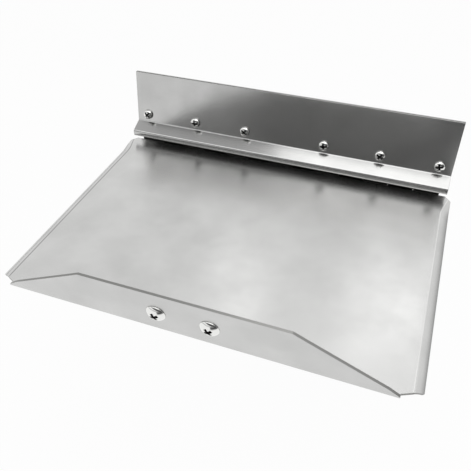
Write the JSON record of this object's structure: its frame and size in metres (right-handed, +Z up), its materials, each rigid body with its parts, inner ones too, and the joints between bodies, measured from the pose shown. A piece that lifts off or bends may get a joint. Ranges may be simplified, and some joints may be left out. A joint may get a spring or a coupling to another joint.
{
  "type": "boat trim tab",
  "caption": "Hinged stainless trim tab: a flat plane with rolled sides and an upturned trailing flange, on a hooded transom plate with a piano hinge.",
  "frame": {"origin": "middle of the row of transom screws, on the rear face of the hinge plate", "axes": "+X to the right along the hinge seen from behind the boat, +Y towards the boat, +Z up with the plane level"},
  "size_m": [0.311, 0.2634, 0.0694],
  "materials": {
    "sheet": "satin",
    "fasteners": "polished",
    "nylon": "matte"
  },
  "bodies": {
    "transom_mount": {"backing_plate": "sheet", "hinge_plate": "sheet", "hinge_pin": "fasteners", "transom_screw_1": "fasteners", "transom_screw_2": "fasteners", "transom_screw_3": "fasteners", "transom_screw_4": "fasteners", "transom_screw_5": "fasteners", "transom_screw_6": "fasteners"},
    "tab": {"trim_plane": "sheet", "tab_leaf": "sheet", "actuator_screw_left": "fasteners", "actuator_screw_right": "fasteners", "actuator_washer_left": "fasteners", "actuator_washer_right": "fasteners", "actuator_nut_left": "fasteners", "actuator_nut_right": "fasteners", "nut_insert_left": "nylon", "nut_insert_right": "nylon"}
  },
  "joints": [
    {"name": "tab_hinge", "type": "hinge", "parent": "transom_mount", "child": "tab", "pos_m": [0, -0.00661, -0.02401], "axis": [1, 0, 0], "range_deg": [-25, 80]}
  ]
}
